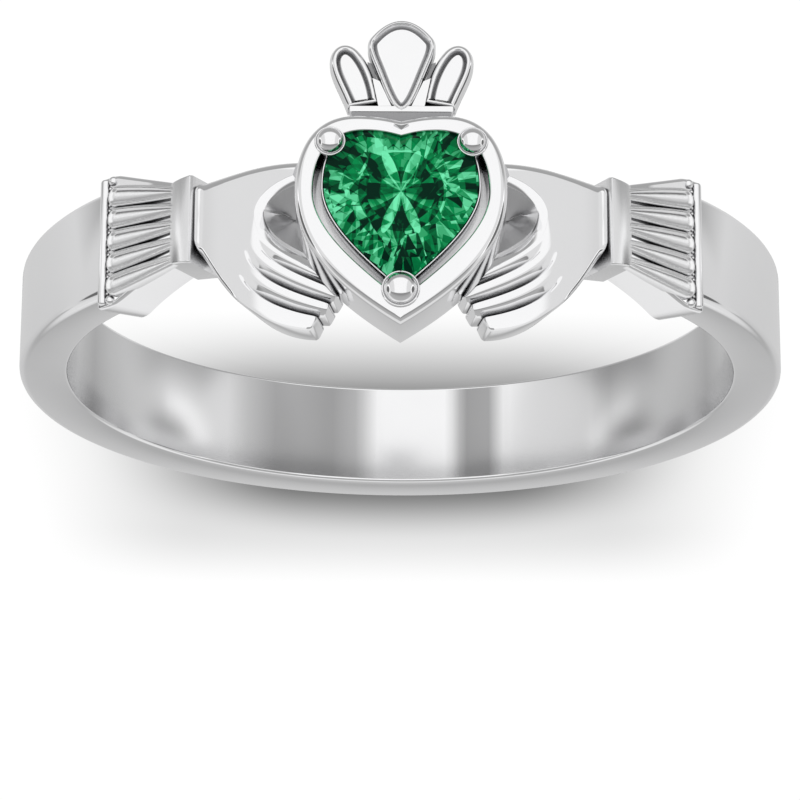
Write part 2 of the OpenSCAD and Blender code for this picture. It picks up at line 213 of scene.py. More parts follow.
class Nodes:
    def __init__(self, owner):
        owner.use_nodes = True
        self.tree = owner.node_tree
        self.tree.nodes.clear()

    def add(self, kind, settings=None, sockets=None, output=0):
        made = self.tree.nodes.new(kind)
        for key, value in (settings or {}).items():
            if key == "stops":
                ramp = made.color_ramp
                ramp.elements[0].position, ramp.elements[1].position = value[0][0], value[-1][0]
                for place, grey in value[1:-1]:
                    ramp.elements.new(place)
                for element, (place, grey) in zip(ramp.elements, value):
                    element.color = (grey, grey, grey, 1)
            else:
                setattr(made, key, value)
        for key, value in (sockets or {}).items():
            if isinstance(value, Wire):
                self.tree.links.new(value.socket, made.inputs[key])
            else:
                made.inputs[key].default_value = value
        return Wire(self, made.outputs[output] if len(made.outputs) else None)


def turnShare(first, second):
    # the angle that two values make, as a share of a turn
    return first.math("ARCTAN2", first, second) * (0.5 / math.pi)


def softStep(nodes, value, start, end, low=0.0, high=1.0):
    # runs softly from low to high while the value runs from start to end
    return nodes.add("ShaderNodeMapRange", {"interpolation_type": "SMOOTHSTEP"}, {
        "Value": value, "From Min": start, "From Max": end, "To Min": low, "To Max": high})


def mixColours(nodes, share, first, second, way="MIX"):
    return nodes.add("ShaderNodeMix", {"data_type": "RGBA", "blend_type": way},
                     {"Factor": share, "A": first, "B": second}, output=2)


def turnStops(table):
    # ramp stops for a whole turn from a table of [degrees, grey]
    return [(angle / 360 + 0.5, grey) for angle, grey in table]


# Silver: one metal in several finishes
silverLook = {
    "colour": (0.92, 0.92, 0.925, 1), "shade": (0.88, 0.88, 0.89, 1), "crevice": (0.16, 0.16, 0.165, 1),
    "creviceReach": 0.00026, "creviceSpan": (0.12, 0.74),
    "patchScale": 900, "waveScale": 360, "bump": 0.04, "bumpDepth": 0.00002, "roughnessSpread": 0.04,
    # finishes: roughness, and brightness as a share of the bright polish; the hollow and neck finishes are darker
    # copies of the silver that paint shade into the palms' hollows and the crown's neck
    "bright": (0.06, 1), "soft": (0.2, 1), "hollow": (0.38, 0.72), "neck": (0.22, 0.27),
    # painted reflections inside the band, paler and darker stretches as of bright and dark cards in the studio:
    # [degrees round from the palm, brightness]
    "stripes": [(-180, 0.85), (-90, 0.85), (-80, 0.8), (-72, 0.6), (-66, 0.74), (-55, 0.9), (-48, 1), (-34, 1),
                (-30, 0.75), (-24, 0.5), (-13, 0.37), (-8, 0.5), (-4, 1), (9, 1), (12, 0.37), (17, 0.42), (20, 1),
                (38, 0.9), (42, 0.7), (55, 0.8), (66, 0.72), (72, 0.6), (80, 0.8), (180, 0.85)],
}


def polishedSilver(name, finish, stripes=None):
    # polished metal, its colour darkened in creases and hollows as painted shade
    look = silverLook
    roughness, share = look[finish]
    material = bpy.data.materials.new(name)
    nodes = Nodes(material)
    place = nodes.add("ShaderNodeTexCoord", output="Object")
    patches = nodes.add("ShaderNodeTexNoise", {}, {"Vector": place, "Scale": look["patchScale"], "Detail": 3.0})
    wave = nodes.add("ShaderNodeTexNoise", {}, {"Vector": place, "Scale": look["waveScale"], "Detail": 1.0})
    polish = mixColours(nodes, patches, look["shade"], look["colour"])
    # painted shade: the colour runs towards the dark crevice shade where the surface is closed in
    openness = nodes.add("ShaderNodeAmbientOcclusion", {"samples": 8}, {"Distance": look["creviceReach"]},
                         output="AO")
    unshaded = softStep(nodes, openness, *look["creviceSpan"])
    colour = mixColours(nodes, unshaded * share, look["crevice"], polish)
    # painted reflections: the colour is made paler or darker by the angle round the finger
    if stripes:
        arm = nodes.add("ShaderNodeVectorMath", {"operation": "SUBTRACT"}, {0: place, 1: bore["pos_m"]})
        down, side = (nodes.add("ShaderNodeVectorMath", {"operation": "DOT_PRODUCT"}, {0: arm, 1: axis},
                                output="Value") for axis in (-heartAxis, acrossAxis))
        turn = turnShare(side, down) + 0.5
        tone = nodes.add("ShaderNodeValToRGB", {"stops": turnStops(stripes)}, {"Fac": turn})
        colour = mixColours(nodes, 1.0, colour, tone, "MULTIPLY")
    relief = nodes.add("ShaderNodeBump", {}, {
        "Height": wave, "Strength": look["bump"], "Distance": look["bumpDepth"]})
    shader = nodes.add("ShaderNodeBsdfPrincipled", {}, {
        "Base Color": colour, "Metallic": 1.0, "Normal": relief,
        "Roughness": roughness + patches * look["roughnessSpread"]})
    nodes.add("ShaderNodeOutputMaterial", {}, {"Surface": shader})
    return material


# Green stone: its green, with the reflections of its cut painted on its faces as shards of light and dark
stoneLook = {
    # the tones of the cut's painted reflections, and how bright a shard is where each pair of tones starts and ends
    # to blend
    "dark": (0.0005, 0.012, 0.006, 1), "green": (0.001, 0.15, 0.042, 1), "bright": (0.1, 0.49, 0.26, 1),
    "darkToGreen": (0.27, 0.56), "greenToBright": (0.56, 0.86), "dimming": 0.1,
    # layers of shards: [middle across and along in mm, weight, same on both sides,
    # rings as (outer radius in mm, shards around, seed)]
    "layers": [
        (0, 0, 0.5, True, [(0.5, 16, 3.1), (0.95, 16, 1.7), (1.35, 30, 5.3), (2.7, 44, 8.9)]),
        (0.85, 0.3, 0.36, True, [(0.4, 9, 4.2), (0.85, 17, 6.6), (2.8, 31, 9.4)]),
        (-0.03, -1.1, 0.34, False, [(0.6, 13, 2.2), (1.2, 27, 0.7), (3.4, 53, 5.9)]),
    ],
    # splinters outside the star's middle, each showing the shards a little shifted: splinters to a mm, shift in mm
    "splinters": 1.8, "splinterStart": 0.8, "splinterShift": 0.5,
    # the star of painted highlights: its reach and the least that its kites reach in mm, its rays, how unlike the
    # upright and the level kites are, how much it brightens, and how much the shards in it are dimmed
    "starReach": 1.0, "starMiddle": 0.1, "rays": 8, "uprightShare": 1.25, "starGlow": 0.4, "starDimming": 0.35,
    "glow": 0.12, "roughness": 0.03, "specular": 0.04,
}


def greenStone():
    # the cut's painted reflections, shards of light and dark drawn round the middle of the stone on the map "cut", in
    # millimetres
    look = stoneLook
    material = bpy.data.materials.new("greenStone")
    nodes = Nodes(material)
    place = nodes.add("ShaderNodeUVMap", {"uv_map": "cut"})
    split = nodes.add("ShaderNodeSeparateXYZ", {}, {"Vector": place})

    def size(value):
        return split.math("ABSOLUTE", value)

    def polar(across, along):
        # the distance from a middle and the share of a turn round it
        return split.math("POWER", across * across + along * along, 0.5), turnShare(across, along)

    def shards(rings, across, along):
        # rings of triangles round a middle, each with its own chance tone
        away, around = polar(across, along)
        tone, start = 0.5, 0
        for end, count, seed in rings:
            climb = (away - start) * (0.5 / (end - start))
            shard = nodes.add("ShaderNodeCombineXYZ", {}, {
                "X": split.math("FLOOR", around * count + climb),
                "Y": split.math("FLOOR", around * count - climb), "Z": seed})
            chance = nodes.add("ShaderNodeTexWhiteNoise", {"noise_dimensions": "3D"}, {"Vector": shard})
            tone = chance if start == 0 else tone + (chance - tone) * split.math("GREATER_THAN", away, start)
            start = end
        return tone

    away, around = polar(size(split["X"]), split["Y"])
    cells = nodes.add("ShaderNodeTexVoronoi", {}, {"Vector": place, "Scale": look["splinters"]}, output="Color")
    shift = nodes.add("ShaderNodeSeparateXYZ", {}, {"Vector": cells})
    reach = split.math("GREATER_THAN", away, look["splinterStart"]) * look["splinterShift"]
    shiftedX = split["X"] + (shift["X"] - 0.5) * reach
    shiftedY = split["Y"] + (shift["Y"] - 0.5) * reach
    tone = -look["dimming"]
    for x, y, weight, bothSides, rings in look["layers"]:
        sideways = size(shiftedX) if bothSides else shiftedX
        tone = tone + shards(rings, sideways - x, shiftedY - y) * weight

    # the star of painted highlights: bright kites up and down, dark spokes between them and to the sides
    petal = 0.5 - split.math("COSINE", around * (2 * math.pi * look["rays"])) * 0.5
    upright = size(split.math("COSINE", around * (2 * math.pi)))
    kite = split.math("GREATER_THAN", petal * look["starReach"] + look["starMiddle"], away)
    star = kite * (upright * look["uprightShare"] + (1 - look["uprightShare"]))
    inner = split.math("LESS_THAN", away, look["starReach"])
    glow = tone * (1 - inner * look["starDimming"]) + star * look["starGlow"]
    colour = look["dark"]
    for name, blendName in (("green", "darkToGreen"), ("bright", "greenToBright")):
        low, high = look[blendName]
        share = nodes.add("ShaderNodeMapRange", {}, {"Value": glow, "From Min": low, "From Max": high})
        colour = mixColours(nodes, share, colour, look[name])
    # the painted pattern is also given off as a faint glow, painted light from a stone that is no lamp
    shader = nodes.add("ShaderNodeBsdfPrincipled", {}, {
        "Base Color": colour, "Roughness": look["roughness"], "Specular IOR Level": look["specular"],
        "Emission Color": colour, "Emission Strength": look["glow"]})
    nodes.add("ShaderNodeOutputMaterial", {}, {"Surface": shader})
    return material


silver = polishedSilver("polishedSilver", "bright")
innerSilver = polishedSilver("innerSilver", "soft", silverLook["stripes"])
# a darker, rougher copy of the silver: painted shade in the palms' hollows, with a duller finish
hollowSilver = polishedSilver("hollowSilver", "hollow")
# a much darker copy of the silver: painted shade on the crown's neck and webs
neckSilver = polishedSilver("neckSilver", "neck")
softSilver = polishedSilver("softSilver", "soft")
stoneGreen = greenStone()

# Camera: at the photo's angle to the ring. The ring lies with its crown down, so the camera hangs upside down and
# the picture's top is the floor in front.
cameraLook = {
    "tipFromFinger": 70.5,  # degrees from the finger's axis, on the side of the heart's point
    "distance": 100,  # mm from the middle of the finger hole
    "lens": 171.77,
    "aimBelow": 1.762,  # mm below the middle of the finger hole in the picture
    "roll": 0.28,  # degrees
    "sensor": 36, "near": 0.005, "far": 10,
}


def makeCamera():
    look = cameraLook
    e = math.radians(look["tipFromFinger"])
    outwards = (placement.to_3x3() @ Vector((0, -math.cos(e), math.sin(e)))).normalized()
    upwards = (placement.to_3x3() @ Vector((0, math.sin(e), math.cos(e)))).normalized()
    middle = placement.translation
    eye = middle + outwards * look["distance"] * 0.001
    target = middle - upwards * look["aimBelow"] * 0.001
    back = (eye - target).normalized()
    right = upwards.cross(back).normalized()
    turn = Matrix((right, back.cross(right), back)).transposed() @ Matrix.Rotation(math.radians(look["roll"]), 3, "Z")
    data = bpy.data.cameras.new("camera")
    data.lens = look["lens"]
    data.sensor_width = look["sensor"]
    data.clip_start = look["near"]
    data.clip_end = look["far"]
    camera = bpy.data.objects.new("camera", data)
    bpy.context.scene.collection.objects.link(camera)
    camera.matrix_world = Matrix.Translation(eye) @ turn.to_4x4()
    bpy.context.scene.camera = camera


makeCamera()
print("camera placed")

# Band with the bridge under the heart, in one ring
band = {
    "width": 2.78, "palmThickness": 1.512, "crestThickness": 1.018,
    "outerEdge": 0.2, "innerEdge": 0.08, "segments": 320,
    "cuffAngle": 41.9, "bridgeThickness": 0.52, "bridgeNeck": 0.62, "bridgeHalf": 1.2,
    # where the bridge starts and ends to narrow, as shares of the way to the cuffs
    "upperNarrowing": (0.3, 0.62), "lowerNarrowing": (0.62, 1.0),
}


def bandThickness(angle):
    # the outside is a circle set off from the finger hole
    if abs(angle) < band["cuffAngle"]:
        return band["bridgeThickness"]
    radius = fingerR + (band["palmThickness"] + band["crestThickness"]) / 2
    shift = (band["palmThickness"] - band["crestThickness"]) / 2
    a = math.radians(angle)
    return math.sqrt(radius ** 2 - (shift * math.sin(a)) ** 2) - shift * math.cos(a) - fingerR


def bandHalf(angle, upper):
    # half width at an angle, on the crown's side or on the side of the heart's point
    if abs(angle) >= band["cuffAngle"]:
        return band["width"] / 2
    reach = fingerR * math.sin(math.radians(band["cuffAngle"]))
    x = fingerR * abs(math.sin(math.radians(angle))) / reach
    start, end = band["upperNarrowing" if upper else "lowerNarrowing"]
    return blend(band["bridgeHalf"], band["bridgeNeck"], smoothStep((x - start) / (end - start)))


def makeBand():
    bm = bmesh.new()
    # a section one thickness and two half widths big, scaled to its place below
    corners = [(fingerR, -1), (fingerR + 1, -1), (fingerR + 1, 1), (fingerR, 1)]
    verts = [bm.verts.new((0, y, r)) for r, y in corners]
    edges = [bm.edges.new((a, b)) for a, b in zip(verts, verts[1:] + verts[:1])]
    bmesh.ops.spin(bm, geom=verts + edges, cent=(0, 0, 0), axis=(0, 1, 0), angle=2 * math.pi,
                   steps=band["segments"], use_merge=True)
    inner, outer = [], []
    for edge in bm.edges:
        a, b = edge.verts
        ra, rb = (math.hypot(v.co.x, v.co.z) for v in (a, b))
        if abs(ra - rb) < 0.01 and a.co.y * b.co.y > 0:
            (inner if ra < fingerR + 0.5 else outer).append(edge)
    for vert in bm.verts:
        angle = math.degrees(math.atan2(-vert.co.x, vert.co.z))
        depth = math.hypot(vert.co.x, vert.co.z) - fingerR
        half = bandHalf(angle, vert.co.y > 0)
        vert.co = ringPoint(angle, half * vert.co.y, fingerR + depth * bandThickness(angle))
    soften(bm, outer, band["outerEdge"], 5)
    soften(bm, inner, band["innerEdge"], 3)
    # the inside faces take the silver with painted reflections
    for face in bm.faces:
        face.material_index = int(max(math.hypot(v.co.x, v.co.z) for v in face.verts) < fingerR + 0.01)
    piece = finishPiece(bm, "band", silver, sharp=40)
    piece.data.materials.append(innerSilver)


makeBand()
print("band made")

# Cuffs: a block that narrows to the collar, a barred and beaded rim, and fanned flutes
cuff = {
    "angle": 41.9, "length": 2.6, "steps": 12, "rimWidth": 3.44, "neckWidth": 1.96, "thickness": 1.22,
    "rimFlat": 0.544, "rimSlant": 0.427, "relief": 0.17, "edge": 0.09, "boreGap": 0.01,
    # the bar across the rim, how much shorter it is than the rim, its beads, and the scrolls at its ends
    "barWidth": 0.26, "barIn": 0.22, "barShort": 0.16, "barRound": 0.07,
    "beads": 22, "beadSize": 0.09, "beadIn": 0.05, "beadRise": 0.01, "beadsShort": 0.1,
    "scrollSize": 0.24, "scrollIn": 0.08,
    # the flutes from beside the beads to under the collar, and their grid, closer at the nose than at the tip
    "flutes": 5, "fluteIn": 0.03, "fluteUnder": 0.16, "fluteWidth": 0.58, "fluteTip": 0.3, "fluteTaper": 1.5,
    "fluteSink": 0.45, "fluteStep": 0.595, "fluteShift": -0.06, "fluteNeckStep": 0.43, "fluteNeckShift": -0.19,
    "fluteRows": 44, "fluteColumns": 28, "rowSpread": 1.6,
    # a flute's height over the cuff at a distance in from its outline
    "fluteProfile": [(0, -0.12), (0.004, 0.05), (0.016, 0.108), (0.035, 0.146), (0.06, 0.167), (0.082, 0.17),
                     (0.1, 0.16), (0.118, 0.138), (0.135, 0.12), (0.155, 0.112), (0.2, 0.106), (0.3, 0.102)],
}


def fluteHeight(inside):
    table = cuff["fluteProfile"]
    for (near, low), (far, high) in zip(table, table[1:]):
        if inside <= far:
            return blend(low, high, (inside - near) / (far - near))
    return table[-1][1]


def makeFlute(bm, length, lay):
    # a petal: a round nose at the rim that narrows to its tip, with a raised border round a hollow
    r = cuff["fluteWidth"] / 2
    grid = bmesh.ops.create_grid(bm, x_segments=cuff["fluteRows"], y_segments=cuff["fluteColumns"], size=1)["verts"]
    for vert in grid:
        x = length * ((vert.co.x + 1) / 2) ** cuff["rowSpread"]
        k = math.sin(vert.co.y * math.pi / 2)
        if x < r:
            half = math.sqrt(max(r * r - (r - x) ** 2, 0))
            inside = r - math.hypot(r - x, half * k)
        else:
            half = blend(r, cuff["fluteTip"] / 2, ((x - r) / (length - r)) ** cuff["fluteTaper"])
            inside = half * (1 - abs(k))
        height = fluteHeight(max(inside, 0)) * (1 - cuff["fluteSink"] * (x / length) ** 2)
        vert.co = lay @ Vector((x, half * k, height))


def makeCuff(side):
    turn = sideTurn(cuff["angle"], side)
    rimX = -cuff["length"] / 2
    neckX = cuff["length"] / 2
    faceZ = fingerR + cuff["thickness"] - cuff["relief"]
    bm = bmesh.new()
    rings = []
    for step in range(cuff["steps"] + 1):
        share = step / cuff["steps"]
        u = blend(rimX, neckX, share)
        narrowing = max(0, (u - rimX - cuff["rimFlat"]) / (cuff["length"] - cuff["rimFlat"]))
        half = blend(cuff["rimWidth"], cuff["neckWidth"], narrowing) / 2
        slant = cuff["rimSlant"] * (1 - share) ** 3
        floorZ = math.sqrt((fingerR + cuff["boreGap"]) ** 2 - (u + slant) ** 2)
        rings.append([Vector((u, half, faceZ)), Vector((u, -half, faceZ)),
                      Vector((u + slant, -half, floorZ)), Vector((u + slant, half, floorZ))])
    loops = loft(bm, rings)
    lengthwise = [e for e in bm.edges if edgeSpan(e, 0) > 0.05 and lowest(e) > faceZ - 0.01]
    soften(bm, loops[0] + lengthwise, cuff["edge"], 4)
    finishPiece(bm, "cuff_" + side, silver, turn=turn)

    barX = rimX + cuff["barIn"]
    barR = cuff["barWidth"] / 2
    barL = cuff["rimWidth"] - cuff["barShort"]
    bm = bmesh.new()
    bmesh.ops.create_cone(bm, cap_ends=True, segments=24, radius1=barR, radius2=barR, depth=barL,
                          matrix=Matrix.Translation((barX, 0, faceZ)) @ Matrix.Rotation(math.pi / 2, 4, "X"))
    soften(bm, [e for e in bm.edges if edgeSpan(e, 1) < 0.01], cuff["barRound"], 3)
    beadX = barX + barR + cuff["beadIn"]
    for i in range(cuff["beads"]):
        y = (i + 0.5 - cuff["beads"] / 2) * (barL - cuff["beadsShort"]) / cuff["beads"]
        bmesh.ops.create_icosphere(bm, subdivisions=2, radius=cuff["beadSize"] / 2,
                                   matrix=Matrix.Translation((beadX, y, faceZ + cuff["beadRise"])))
    for end in (-1, 1):
        scroll = (beadX + cuff["scrollIn"], end * (barL / 2 - cuff["scrollIn"]), faceZ)
        bmesh.ops.create_uvsphere(bm, u_segments=20, v_segments=12, radius=cuff["scrollSize"] / 2,
                                  matrix=Matrix.Translation(scroll))
    finishPiece(bm, "cuff_bar_" + side, silver, turn=turn)

    bm = bmesh.new()
    fluteX = beadX + cuff["fluteIn"]
    fluteEnd = neckX + cuff["fluteUnder"]
    for i in range(cuff["flutes"]):
        k = (cuff["flutes"] - 1) / 2 - i
        start = Vector((fluteX, k * cuff["fluteStep"] + cuff["fluteShift"]))
        run = Vector((fluteEnd, k * cuff["fluteNeckStep"] + cuff["fluteNeckShift"])) - start
        lay = Matrix.Translation((start.x, start.y, faceZ)) @ Matrix.Rotation(math.atan2(run.y, run.x), 4, "Z")
        makeFlute(bm, run.length, lay)
    bmesh.ops.remove_doubles(bm, verts=bm.verts, dist=0.0006)
    finishPiece(bm, "cuff_flutes_" + side, softSilver, turn=turn, sharp=60)


for side in ("left", "right"):
    makeCuff(side)
print("cuffs made")

# Collars: turned-back bands that rise towards the hands
collar = {
    "angle": 32.6, "length": 0.64, "width": 2.12, "flareWidth": 2.26, "shift": -0.12, "thickness": 1.3, "edge": 0.05,
    # the rolled top from the cuff's side to the hand's: [share of half the length, drop], with a curve in between
    # that climbs by "climb" to its crest
    "cuffSide": [(-1, 0.3), (-1, 0.12)], "handSide": [(0.7, 0), (0.9, 0.005), (1, 0.05), (1, 0.25)],
    "curve": [-0.94, -0.85, -0.7, -0.5, -0.3, -0.1, 0.1, 0.3, 0.5], "climb": 0.09, "crest": 0.45,
}


def makeCollar(side):
    half = collar["length"] / 2
    top = fingerR + collar["thickness"]
    crest = collar["crest"]
    curve = [(k, collar["climb"] * ((crest - k) / (crest + 1)) ** 2) for k in collar["curve"]]
    profile = [(half * k, top - drop) for k, drop in collar["cuffSide"] + curve + collar["handSide"]]
    bm = bmesh.new()
    rings = []
    for u, w in profile:
        wide = blend(collar["width"], collar["flareWidth"], (u + half) / collar["length"]) / 2
        upper, lower = collar["shift"] + wide, collar["shift"] - wide
        rings.append([Vector((u, upper, w)), Vector((u, lower, w)), Vector((u, lower, fingerR)),
                      Vector((u, upper, fingerR))])
    loft(bm, rings)
    # the edges at the two ends of the rolled top
    ends = [e for e in bm.edges if lowest(e) > top - 0.19 and edgeSpan(e, 1) < 0.2 and
            len(e.link_faces) == 2 and e.calc_face_angle() > 1.2]
    soften(bm, ends, collar["edge"], 3)
    finishPiece(bm, "collar_" + side, softSilver, turn=sideTurn(collar["angle"], side), sharp=38)


for side in ("left", "right"):
    makeCollar(side)
print("collars made")

# Hands: the palm and thumb above the opening, and the palm and fingers below it
hand = {
    "rise": 1.37, "lift": 0.4, "length": 3.68, "drop": 3.4, "wristWidth": 1.66, "wristDip": 0.25,
    "climb": 0.43, "climbPower": 0.85, "ridgeHeight": 0.05, "ridgeAt": 0.12, "ridgeWidth": 0.09,
    "edgeRound": 0.26, "tipEdgeRound": 0.07, "edgeTaper": 0.7, "tipRound": 0.05, "tipStretch": 2.5,
    # the fingers from the opening to the little finger's outside, as shares of the hand's lower half
    "fingerEdges": [0, 0.15, 0.43, 0.715, 1], "grooveStarts": [0.6, 0.5, 0.5], "grooveDepths": [0.17, 0.22, 0.22],
    "grooveGrowth": 0.34, "grooveWall": 0.11, "fingerBend": 0.3, "bendStart": 0.5, "crest": 0.5, "firstCrest": 0.34,
    # how much further each fingertip reaches, and how much shorter it is at its sides
    "fingerReach": [0.0, 0.024, 0.022, 0.004], "tipCurve": 0.012,
    # steps over a finger, from its upper groove to its lower one
    "fingerSteps": [0, 0.035, 0.07, 0.11, 0.18, 0.27, 0.36, 0.45, 0.52, 0.59, 0.66, 0.74, 0.82, 0.91],
    "rows": 84, "openingRow": 36, "rowSpread": 1.25, "thumbColumns": 26, "thumbSpread": 1.4, "palmRows": 40,
    # the opening's chamfer [distance in, drop], then the hollow [share of the way to its middle, drop]
    "chamfer": [(-0.012, 0.006), (0.015, 0.012), (0.04, 0.022), (0.19, 0.092), (0.215, 0.12)],
    "hollow": [(0.08, 0.18), (0.3, 0.35), (0.55, 0.52), (0.8, 0.65), (1, 0.7)],
    "hollowStart": 0.65, "hollowMiddle": 0.36, "hollowShallow": 0.4, "hollowGrowth": 0.4,
    "lowerChamfer": 1.7, "chamferGrowth": 0.25, "palmLift": {"upper": 0.08, "lower": 0.05},
}
handR = fingerR + hand["rise"]
wristShare = hand["wristWidth"] / 2 / hand["drop"]
wristAngle = collar["angle"] - math.degrees(collar["length"] / 2 / handR)
# guide curves as shares of the hand's length and drop, from the wrist to the fingertips
thumbOuter = [(0, wristShare), (0.21, 0.23), (0.45, 0.3), (0.79, 0.26)]
openingUpper = [(0.486, -0.09), (0.49, 0.02), (0.6, 0.11), (0.76, 0.15)]
openingLower = [(0.486, -0.09), (0.49, -0.3), (0.62, -0.39), (1.03, -0.625)]
palmMiddle = [(0, 0), (0.15, -0.02), (0.32, -0.06), (0.486, -0.09)]
littleOuter = [(0, -wristShare), (0.17, -0.43), (0.4, -0.95), (0.87, -0.98)]
handRows = [1 - (1 - i / hand["rows"]) ** hand["rowSpread"] for i in range(hand["rows"] + 1)]
openingStart = handRows[hand["openingRow"]]


def handSize(p):
    return Vector((p[0] * hand["length"], p[1] * hand["drop"]))


def handOnRing(plan, radius):
    return ringPoint(wristAngle - math.degrees(plan.x / handR), plan.y, radius)


def innerGuide(t, opening):
    if t < openingStart:
        return curvePoint(palmMiddle, t / openingStart)
    return curvePoint(opening, (t - openingStart) / (1 - openingStart))


def handBack(along):
    # distance of the hand's back from the finger's axis, before the grooves and the rounded sides
    back = handR - hand["wristDip"] + hand["climb"] * max(along / hand["length"], 0) ** hand["climbPower"]
    return back + hand["ridgeHeight"] * math.exp(-((along - hand["ridgeAt"]) / hand["ridgeWidth"]) ** 2)


def grooveDrop(nth, across, t):
    # how deep the grooves beside a finger are: a short steep side above it and a long slope below it
    depth = 0
    if nth > 0:
        grown = smoothStep((t - hand["grooveStarts"][nth - 1]) / hand["grooveGrowth"])
        depth += max(0, 1 - across / hand["grooveWall"]) ** 1.6 * grown * hand["grooveDepths"][nth - 1]
    if nth < 3:
        crest = hand["crest"] if nth else hand["firstCrest"]
        grown = smoothStep((t - hand["grooveStarts"][nth]) / hand["grooveGrowth"])
        depth += max(0, (across - crest) / (1 - crest)) ** 1.15 * grown * hand["grooveDepths"][nth]
    return depth


def thicken(bm, lift):
    # closes a skin over the ring with walls and an underside
    under = bmesh.ops.extrude_face_region(bm, geom=bm.faces[:])["geom"]
    for vert in under:
        if isinstance(vert, bmesh.types.BMVert):
            out = Vector((vert.co.x, vert.co.z)).normalized() * (fingerR + lift)
            vert.co = Vector((out.x, vert.co.y, out.y))


def makeHand(side):
    mirror = None if side == "left" else Matrix.Scale(-1, 4, (1, 0, 0))
    bm = bmesh.new()

    # thumb side
    columns = hand["thumbColumns"]
    for vert, row, column in gridPoints(bm, hand["rows"], columns):
        t = handRows[row]
        k = (column / columns) ** hand["thumbSpread"]
        inner = handSize(innerGuide(t, openingUpper))
        outer = handSize(curvePoint(thumbOuter, t))
        plan = inner.lerp(outer, k)
        drop = roundDrop((1 - k) * (outer - inner).length, hand["edgeRound"])
        vert.co = handOnRing(plan, handBack(plan.x) - drop)

    # finger side
    steps = hand["fingerSteps"]
    columns = len(steps) * 4
    for vert, row, column in gridPoints(bm, hand["rows"], columns):
        t = handRows[row]
        nth = min(column // len(steps), 3)
        across = steps[column % len(steps)] if column < columns else 1
        k = blend(hand["fingerEdges"][nth], hand["fingerEdges"][nth + 1], across)
        reach = t + (hand["fingerReach"][nth] - hand["tipCurve"] * abs(2 * across - 1) ** 6) * t ** 8
        inner = handSize(innerGuide(reach, openingLower))
        outer = handSize(curvePoint(littleOuter, reach))
        plan = inner.lerp(outer, k)
        edgeRound = blend(hand["edgeRound"], hand["tipEdgeRound"], smoothStep(t / hand["edgeTaper"]))
        edge = roundDrop((1 - k) * (outer - inner).length, edgeRound)
        tip = roundDrop((1 - t) * hand["tipStretch"], hand["tipRound"])
        bend = hand["fingerBend"] * (max(0, t - hand["bendStart"]) / (1 - hand["bendStart"])) ** 1.5
        vert.co = handOnRing(plan, handBack(plan.x) - grooveDrop(nth, across, t) - edge - tip - bend)

    bmesh.ops.remove_doubles(bm, verts=bm.verts, dist=0.002)
    thicken(bm, hand["lift"])
    finishPiece(bm, "hand_" + side, silver, turn=mirror, sharp=40)

    # the opening's chamfered rim and the hollow palm inside it, above the opening and below it
    path = hand["chamfer"] + hand["hollow"]
    rimStep = len(hand["chamfer"]) - 1
    for name, guide, sign in (("upper", openingUpper, -1), ("lower", openingLower, 1)):
        bm = bmesh.new()
        points = gridPoints(bm, hand["palmRows"], len(path) - 1)
        for face in bm.faces:
            face.material_index = int(face.calc_center_median().y > 2 * rimStep / (len(path) - 1) - 1)
        for vert, row, step in points:
            k = row / hand["palmRows"]
            edge = handSize(curvePoint(guide, k))
            ahead = handSize(curvePoint(guide, k + 0.01)) - handSize(curvePoint(guide, k - 0.01))
            inwards = Vector((-ahead.y, ahead.x)).normalized() * sign
            move, drop = path[step]
            if step <= rimStep:
                plan = edge + inwards * move
                if name == "lower":
                    drop *= blend(1, hand["lowerChamfer"], smoothStep(k / hand["chamferGrowth"]))
            else:
                far = blend(hand["hollowStart"], 1, k)
                middle = handSize(curvePoint(openingUpper, far)).lerp(handSize(curvePoint(openingLower, far)),
                                                                      hand["hollowMiddle"])
                plan = (edge + inwards * path[rimStep][0]).lerp(middle, move)
                drop *= blend(hand["hollowShallow"], 1, smoothStep(k / hand["hollowGrowth"]))
            bend = hand["fingerBend"] * k ** 1.5 if name == "lower" else 0
            vert.co = handOnRing(plan, handBack(plan.x) - drop - bend)
        thicken(bm, hand["lift"] + hand["palmLift"][name])
        palm = finishPiece(bm, "palm_" + name + "_" + side, silver, turn=mirror, sharp=60)
        # the hollow faces take the darker silver, as painted shade
        palm.data.materials.append(hollowSilver)


for side in ("left", "right"):
    makeHand(side)
print("hands made")

# Heart: a high-walled cup with a chamfered flat rim
heart = {
    "width": 4.98, "length": 5.22, "topY": 1.46, "rise": 2.7, "wall": 1.45, "dip": 0.026, "belly": 0.06, "rim": 0.43,
    # the post under the cup, in shares of the heart's width, length and top
    "post": {"width": 0.72, "length": 0.66, "top": 0.62},
    # the rim's rounded edges: [distance from the side, drop]
    "outerEdge": [(0, 0.24), (0.018, 0.15), (0.05, 0.09), (0.095, 0.042), (0.145, 0.012), (0.19, 0)],
    "innerEdge": [(0.07, 0), (0.04, 0.008), (0.015, 0.03), (0.003, 0.06)],
    # the well, how much longer than the stone, and how far its top is in from the heart's, in rims
    "well": {"longer": 0.26, "topIn": 1.04, "dip": 0.033},
    # the stone's seat and the lip round it: [how much bigger than the stone, how much higher its top is], and the
    # floor under it in shares of the stone
    "seat": (0.03, 0.01), "lip": (0.11, 0.045), "floor": {"size": 0.5, "top": 0.72},
    # the way down inside the rim, over the moat and the lip round the seat: [outline, distance in, drop]
    "inside": [("well", 0, 0.1), ("well", 0.05, 0.62), ("lip", 0, 0.62), ("lip", 0, 0.19), ("lip", 0.012, 0.175),
               ("seat", -0.006, 0.175), ("seat", 0, 0.19), ("floor", 0, 1.3)],
    # the crease where the two lobes meet on the rim: a low point in front, two high ones behind, and the cleft
    "crease": {"width": 0.36, "length": 0.125, "y": 1.03, "rise": 0.09, "cleft": 0.72, "cleftRise": 0.75},
}
